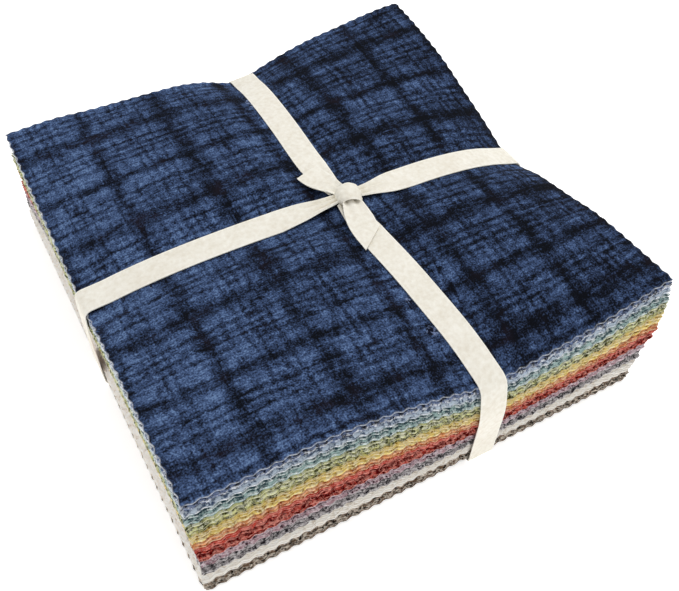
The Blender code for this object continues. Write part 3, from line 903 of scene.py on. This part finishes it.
# %% [markdown]
# ## Round the stack
#
# Each of the four branches starts at the knot, lies in its groove, rounds the rim in a soft bend,
# hangs taut against the squares that stand out furthest, turns under the base and ends where the
# runs cross below. The route is first drawn flat, as how far out and how high it is. A branch's row
# says which way it runs, how far it drifts sideways on its way down, how high it lies under the
# base, how far it stands off the squares, how wide it bends over the rim and how far it is raised
# there. A second table says how it is gathered at the knot: its width, pleats and lift, each in
# millimetres against the distance from its start.

# %% The four branches, and the bends of a route
TAPE_LIFT = 0.7 * MM
KNEE_RADIUS = 30 * MM
FOOT_RADIUS = 2 * MM
STEP = 2.0 * MM
HALF_HEIGHT = 35 * MM

Branch = namedtuple("Branch", "name axis sign drift under lift bend raised")
BRANCHES = (
    Branch("front", 1, -1, 4.9 * MM, 0.35 * MM, 1.5 * MM, 9 * MM, 0.1 * MM),
    Branch("right", 0, 1, -1 * MM, 0.95 * MM, 1.4 * MM, 6 * MM, 0.5 * MM),
    Branch("back", 1, 1, 2 * MM, 0.35 * MM, 1.6 * MM, 4.5 * MM, 1.5 * MM),
    Branch("left", 0, -1, 0.9 * MM, 0.95 * MM, 1.2 * MM, 4.2 * MM, 1.4 * MM),
)


def taut(points):
    """The points of a side, from the top down, that a tape pulled tight over them touches."""
    kept = []
    for out, height in points:
        while len(kept) > 1:
            (out_a, height_a), (out_b, height_b) = kept[-2:]
            bulge = (out_b - out_a) * (height_a - height) - (out - out_a) * (height_a - height_b)
            if bulge > 0:
                break
            kept.pop()
        kept.append((out, height))
    return kept


def rounded(corners):
    """Replaces (out, height, radius) corners by round bends."""
    route = []
    for index, (out, height, radius) in enumerate(corners):
        here = Vector((out, height))
        if not radius:
            route.append(here)
            continue
        before = Vector(corners[index - 1][:2]) - here
        after = Vector(corners[index + 1][:2]) - here
        turn = math.pi - before.angle(after)
        reach = min(radius * math.tan(turn / 2), before.length * 0.48, after.length * 0.48)
        start, end = here + before.normalized() * reach, here + after.normalized() * reach
        steps = max(3, round(math.degrees(turn) / 6))
        for step in range(steps + 1):
            t = step / steps
            route.append(start * (1 - t) ** 2 + here * (2 * t * (1 - t)) + end * t * t)
    return route


def spaced(route, step):
    """The same route with a point at every step."""
    places = np.array([tuple(p) for p in route])
    lengths = np.concatenate(([0], np.cumsum(np.linalg.norm(np.diff(places, axis=0), axis=1))))
    at = np.linspace(0, lengths[-1], max(3, round(lengths[-1] / step)))
    return np.stack([np.interp(at, lengths, places[:, k]) for k in range(places.shape[1])], 1)


# %% How the cloth lies under a branch
def crosswise(branch, out):
    """Where the middle of the tape lies beside its axis, on top."""
    run = y_run_at if branch.axis == 1 else x_run_at
    return float(run(np.clip(branch.sign * out, -HALF, HALF)))


def surface_under(branch, out):
    """The height of the cloth under the tape's width."""
    side = np.array([-0.4, 0.0, 0.4]) * TAPE_WIDTH + crosswise(branch, out)
    along = np.full(3, branch.sign * out)
    x, y = (side, along) if branch.axis == 1 else (along, side)
    return float(top_height(x, y).mean())


def tilt_under(branch, out):
    """How steeply the cloth falls across the tape's width."""
    side = np.array([-0.45, 0.45]) * TAPE_WIDTH + crosswise(branch, out)
    along = np.full(2, branch.sign * out)
    x, y = (side, along) if branch.axis == 1 else (along, side)
    low, high = top_height(x, y)
    return float(high - low) / (0.9 * TAPE_WIDTH)


def side_edges(branch):
    """How far out the teeth of each sheet reach under the tape, from the top down."""
    edges = []
    across = crosswise(branch, HALF)
    top = surface_under(branch, HALF)
    for index, middle in reversed(list(enumerate(sheet_middles))):
        level = (index + 1) / len(sheet_nodes)
        slip = Vector(middle) - CENTRE
        turn = float(slip_at(level)[2])
        if branch.axis == 1:
            moved = slip.y + turn * across + askew(across, branch.sign * HALF, level)[1]
        else:
            moved = slip.x - turn * across + askew(branch.sign * HALF, across, level)[0]
        out = HALF + branch.sign * moved + spread_at(level)[branch.name]
        edges.append((out, UNDER_LIFT + (top - UNDER_LIFT) * level))
    return edges


# %% Take a branch from the knot to the crossing below
def branch_route(branch, start):
    """Points of the tape's middle from the knot, round the rim, to the crossing below."""
    edges = side_edges(branch)
    rim_out = edges[0][0]
    stops = np.arange(start, rim_out - 10 * MM, 3 * MM)
    inner = [(out, surface_under(branch, out) + TAPE_LIFT, 0) for out in stops]
    (out_a, height_a, _), (out_b, height_b, _) = inner[-2:]
    slope = (height_b - height_a) / (out_b - out_a)
    side = taut([(out + branch.lift, height) for out, height in edges if height < edges[0][1] - 6 * MM])
    top_out = rim_out + branch.lift
    corner = (top_out, height_b + slope * (top_out - out_b) + branch.raised, branch.bend)
    knees = [(out, height, KNEE_RADIUS) for out, height in side[1:-1]]
    foot = (side[-1][0], branch.under, FOOT_RADIUS)
    under = (0.0, branch.under, 0)
    flat = spaced(rounded(inner + [corner] + knees + [foot, under]), STEP)
    fall_from, fall_to = corner[1] - branch.bend, branch.under
    centre = np.array((CENTRE.x, CENTRE.y))
    points = []
    bottom_cross = crosswise(branch, HALF) + branch.drift
    below = crosswise(branch, 0.0)
    furthest = 0.0
    for out, height in flat:
        furthest = max(furthest, float(out))
        fallen = float(np.clip((fall_from - height) / (fall_from - fall_to), 0, 1))
        if height <= branch.under + 1e-5 and out < side[-1][0] - FOOT_RADIUS:
            cross = below + (bottom_cross - below) * out / HALF
        else:
            cross = crosswise(branch, furthest) + branch.drift * fallen
        place = [0.0, 0.0, height]
        place[branch.axis] = branch.sign * out + centre[branch.axis]
        place[1 - branch.axis] = cross + centre[1 - branch.axis]
        points.append(Vector(place))
    return points


def route_sections(branch, points, width_at, crimp_at, lift_at):
    """The sections of a branch: upright to its route, and gathered near the knot."""
    sections = []
    travelled = 0.0
    last = len(points) - 1
    for index, point in enumerate(points):
        ahead = (points[min(index + 1, last)] - points[max(index - 1, 0)]).normalized()
        if index:
            travelled += (point - points[index - 1]).length
        level = Vector((1, 0, 0)) if branch.axis == 1 else Vector((0, 1, 0))
        up = ahead.cross(level).normalized()
        inside = Vector((CENTRE.x, CENTRE.y, HALF_HEIGHT))
        if up.dot(point - inside) < 0:
            up.negate()
        across = up.cross(ahead).normalized()
        if across.dot(level) < 0:
            across.negate()
        out = branch.sign * (point - CENTRE)[branch.axis]
        flatness = max(0.0, up.z) ** 2 if point.z > HALF_HEIGHT else 0.0
        across = (across + up * (tilt_under(branch, min(out, HALF)) * flatness)).normalized()
        width, crimp, lift = [float(f(travelled)) for f in (width_at, crimp_at, lift_at)]
        sections.append(Section(point + up * lift, across, up, width, crimp))
    return sections


# %% Weave the four branches
Gather = namedtuple("Gather", "start widths crimps lifts")
GATHERS = {
    "front": Gather(
        6 * MM, widths=((0, 9), (8, 12), (22, 15)),
        crimps=((0, 0.7), (10, 0.3), (24, 0)), lifts=((0, 1.2), (12, 0.3), (26, 0)),
    ),
    "back": Gather(
        2 * MM, widths=((0, 8), (10, 12), (24, 15)),
        crimps=((0, 0.7), (12, 0.3), (26, 0)), lifts=((0, 1.4), (14, 0.5), (28, 0)),
    ),
    "left": Gather(
        -6 * MM, widths=((0, 5.5), (10, 8), (20, 12), (34, 15)),
        crimps=((0, 1.0), (12, 0.7), (34, 0)), lifts=((0, 2.4), (12, 1.8), (36, 0)),
    ),
    "right": Gather(
        15 * MM, widths=((0, 6), (10, 9), (22, 14), (32, 15)),
        crimps=((0, 0.9), (12, 0.5), (30, 0)), lifts=((0, 2.2), (12, 1.2), (32, 0)),
    ),
}
tape_parts = []
tape_length = 0.0
for branch in BRANCHES:
    gather = GATHERS[branch.name]
    points = branch_route(branch, gather.start)
    curves = [soft_curve(np.array(rows) * MM) for rows in (gather.widths, gather.crimps, gather.lifts)]
    sections = route_sections(branch, points, *curves)
    part, tape_length = ribbon(f"tape_{branch.name}", sections, tape_length)
    tape_parts.append(part)
print("tape round the stack:", round(tape_length, 3), "m")

# %% [markdown]
# ## The knot
#
# The tape's ends cross and tie over the runs. Pulled tight, flat tape crumples into a small barrel:
# one wrap goes round the gathered strands, its edges tuck in, and soft creases run round it. The
# free ends leave under the wrap, one up the back run and one down the front run, and open out to
# the tape's full width again. A knot that is simulated seldom pulls tight, and its inside never
# shows, so the wrap is wound straight into its final shape.

# %% Wind the wrap
KNOT_MIDDLE = Vector((11.0, -3.8, 0)) * MM
KNOT_TURN = math.radians(-10)
KNOT_HALF = Vector((6.6, 5.6, 3.9)) * MM
KNOT_RISE = 3.1 * MM
WRAP_STEPS = 56
WRAP_LENGTH = 30 * MM


def on_top(x, y):
    """The height of the cloth at one place of the top."""
    return float(top_height(np.array([x]), np.array([y]))[0])


knot_floor = on_top(KNOT_MIDDLE.x, KNOT_MIDDLE.y) + TAPE_LIFT + TAPE_THICK
knot_along = Vector((math.sin(-KNOT_TURN), math.cos(KNOT_TURN), 0))
knot_aside = Vector((knot_along.y, -knot_along.x, 0))
knot_heart = Vector((KNOT_MIDDLE.x + CENTRE.x, KNOT_MIDDLE.y + CENTRE.y, knot_floor + KNOT_RISE))


def wind_wrap(name, heart, along, aside, half, pleat, twist, start):
    """A barrel of tape round the strands: its edges tuck in, and creases run round it."""
    places, flat = [], []
    for turn in range(WRAP_STEPS + 1):
        angle = math.tau * turn / WRAP_STEPS - math.pi / 2
        for step in range(ACROSS_STEPS + 1):
            w = 2 * step / ACROSS_STEPS - 1
            barrel = 1 - 0.34 * abs(w) ** 3
            crease = 1 + pleat * math.cos(2.6 * math.pi * w + twist * math.sin(angle + 0.6))
            out = aside * (half.x * math.cos(angle)) + Vector((0, 0, half.z * math.sin(angle)))
            lean = along * (w * half.y * (1 + 0.16 * math.cos(angle - 0.4)))
            places.append(heart + out * (barrel * crease) + lean)
            flat.append((start + turn / WRAP_STEPS * WRAP_LENGTH, step / ACROSS_STEPS))
    return cloth_piece(name, np.array(places), faces_between(WRAP_STEPS + 1, flipped=True), np.array(flat))


wrap = wind_wrap("tape_wrap", knot_heart, knot_along, knot_aside, KNOT_HALF, 0.055, 1.3, tape_length)
tape_parts.append(wrap)
tape_length += WRAP_LENGTH

# %% Lay the two free ends
END_PLEATS = 2.0
END_SECTIONS = 30
EndRow = namedtuple("EndRow", "x y lift width crimp")
BACK_END = (
    EndRow(10.5, -4.0, 2.4, 7.0, 0.9), EndRow(9.0, 0.0, 3.2, 8.0, 0.8), EndRow(7.4, 3.6, 3.6, 9.5, 0.5),
    EndRow(5.6, 8.0, 3.2, 12.5, 0.3), EndRow(4.0, 13.0, 2.4, 14.6, 0.1), EndRow(2.6, 18.0, 1.7, 15.0, 0.0),
    EndRow(1.4, 23.0, 1.6, 15.0, 0.0),
)
FRONT_END = (
    EndRow(11.0, -3.0, 2.4, 8.0, 0.9), EndRow(10.4, -7.0, 3.4, 9.0, 0.8), EndRow(9.8, -10.5, 3.6, 10.8, 0.5),
    EndRow(9.0, -15.5, 2.9, 13.2, 0.3), EndRow(8.2, -22.0, 1.9, 15.0, 0.1),
    EndRow(7.9, -28.0, 1.4, 15.0, 0.0), EndRow(7.9, -34.0, 1.6, 15.0, 0.0),
)


def lay_end(name, rows, skew, start):
    """A free end from inside the wrap to its cut."""
    table = np.array(rows) * MM
    lengths = np.concatenate(([0], np.cumsum(np.linalg.norm(np.diff(table[:, :2], axis=0), axis=1))))
    curves = [soft_curve(np.stack((lengths, table[:, k]), 1)) for k in range(5)]
    middles, sizes = [], []
    for travelled in np.linspace(0, lengths[-1], END_SECTIONS):
        x, y, lift, width, crimp = [float(curve(travelled)) for curve in curves]
        middles.append(Vector((x + CENTRE.x, y + CENTRE.y, on_top(x, y) + TAPE_LIFT + lift)))
        sizes.append((width, crimp))
    sections = []
    last = len(middles) - 1
    for index, middle in enumerate(middles):
        ahead = (middles[min(index + 1, last)] - middles[max(index - 1, 0)]).normalized()
        across = ahead.cross(Vector((0, 0, 1))).normalized()
        sections.append(Section(middle, across, across.cross(ahead), *sizes[index]))
    return ribbon(name, sections, start, END_PLEATS, skew)


for name, rows, skew in (("tape_back_end", BACK_END, 1.5 * MM), ("tape_front_end", FRONT_END, 11.5 * MM)):
    part, tape_length = lay_end(name, rows, skew, tape_length)
    tape_parts.append(part)
print("tape in all:", round(tape_length, 3), "m")

# %% [markdown]
# ## Woven cotton tape
#
# The tape is a plain weave of cream cotton: fine ribs across, finer ones along, and a firmer
# selvedge on each side. The pattern follows the tape because it reads the cloth's own map: how far
# along the tape a point lies, and how far across. Ribs of half a millimetre would take a million
# faces, so they are dents in the finish. The runs, the wrap and the free ends then get
# their thickness from a Solidify modifier and are joined, because they are one tape.

# %% Weave its finish
WEFT_PITCH = 0.55 * MM
WARP_PITCH = 0.5 * MM


def woven_tape(name):
    """Cream cotton in a plain weave, with a selvedge on each side."""
    tape = Finish(name)
    along, across = tape.flat_cloth()
    wobble = tape.noise(300, 2.0)
    ribs = (along * (math.tau / WEFT_PITCH) + wobble * 2.0).sine()
    yarns = (across * (math.tau * TAPE_WIDTH / WARP_PITCH) + wobble * 1.0).sine()
    weave = ribs * yarns
    side = (across - 0.5).absolute().step(0.43, 0.48)
    slub = tape.noise(420, 3.0)
    cloudy = tape.noise(70, 2.0)
    tone = (0.42 + weave * 0.2 + (slub - 0.5) * 1.3 + (cloudy - 0.5) * 0.6 - side * 0.25).clamped()
    colour = tape.mix(tone, dye(255, 252, 242), dye(230, 222, 204))
    dents = tape.bump(weave * 0.5 + slub * 0.5 + side * 0.4, 0.5, 0.18 * MM)
    return tape.set(Base_Color=colour, Roughness=0.9, Specular_IOR_Level=0.3, Normal=dents)


# %% Thicken and join the parts of the tape
bpy.ops.object.select_all(action="DESELECT")
for part in tape_parts:
    bpy.context.view_layer.objects.active = part
    part.select_set(True)
    thicken = part.modifiers.new("thickness", "SOLIDIFY")
    thicken.thickness = TAPE_THICK
    thicken.offset = 0.0
    bpy.ops.object.modifier_apply(modifier=thicken.name)
bpy.context.view_layer.objects.active = tape_parts[0]
bpy.ops.object.join()
tape_piece = bpy.context.view_layer.objects.active
tape_piece.name = "cotton_tape"
tape_piece.data.name = "cotton_tape"
bpy.ops.object.shade_smooth_by_angle(angle=math.radians(50))
tape_piece.data.materials.append(woven_tape("cream_woven_tape"))
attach(tape_piece, "root")
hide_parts("tape")
print("the tape has", len(tape_piece.data.polygons), "faces")

# %% [markdown]
# ## Floor, light and camera
#
# A pale floor that glows a little, a bright even sky and a large soft lamp behind the stack's right
# shoulder: enough to give the tape an edge of shade, and not enough to draw a hard shadow. Two
# weaker lamps, one in front and one on the left, keep the cut edges of the squares readable. The
# camera looks down on the stack over its front left corner, from half a metre away.

# %% Set the stage
bpy.ops.object.select_all(action="DESELECT")
bpy.ops.mesh.primitive_plane_add(size=8, location=(0, 0, -0.2 * MM))
floor = bpy.context.object
floor.name = "floor"
paper = Finish("white_paper")
floor.data.materials.append(paper.set(
    Base_Color=(0.9, 0.9, 0.9), Roughness=0.9, Emission_Color=(1.0, 1.0, 1.0), Emission_Strength=0.52,
))

sky = bpy.data.worlds.new("even_sky")
bpy.context.scene.world = sky
sky.use_nodes = True
sky.node_tree.nodes["Background"].inputs[0].default_value = (1.0, 1.0, 1.0, 1.0)
sky.node_tree.nodes["Background"].inputs[1].default_value = 0.62


def soft_lamp(name, place, aim, size, power):
    """A square lamp that looks at a point."""
    bpy.ops.object.light_add(type="AREA", location=place)
    lamp = bpy.context.object
    lamp.name = name
    lamp.data.size = size
    lamp.data.energy = power
    lamp.rotation_euler = (Vector(aim) - Vector(place)).to_track_quat("-Z", "Y").to_euler()


soft_lamp("key_lamp", (0.55, 0.35, 0.95), (0, 0, 0.05), 0.5, 4.9)
soft_lamp("front_lamp", (0.15, -1.1, 0.55), (0, 0, 0.04), 0.6, 1.7)
soft_lamp("left_lamp", (-1.2, -0.2, 0.35), (0, 0, 0.04), 0.6, 2.0)
bpy.context.scene.view_settings.view_transform = "Standard"

# %% Place the camera
EYE = Vector((-165.6, -259.8, 384.6)) * MM
RIGHTWARDS = Vector((0.8668, -0.4931, 0.0740))
UPWARDS = Vector((0.3455, 0.7010, 0.6239))
LENS = 44.48

bpy.ops.object.camera_add()
camera = bpy.context.object
back = RIGHTWARDS.cross(UPWARDS).normalized()
level_right = UPWARDS.cross(back).normalized()
turned = Matrix((level_right, back.cross(level_right), back)).transposed()
camera.matrix_world = Matrix.Translation(EYE + Vector((CENTRE.x, CENTRE.y, 0))) @ turned.to_4x4()
camera.data.lens = LENS
camera.data.sensor_width = 36
camera.data.clip_start = 0.01
bpy.context.scene.camera = camera
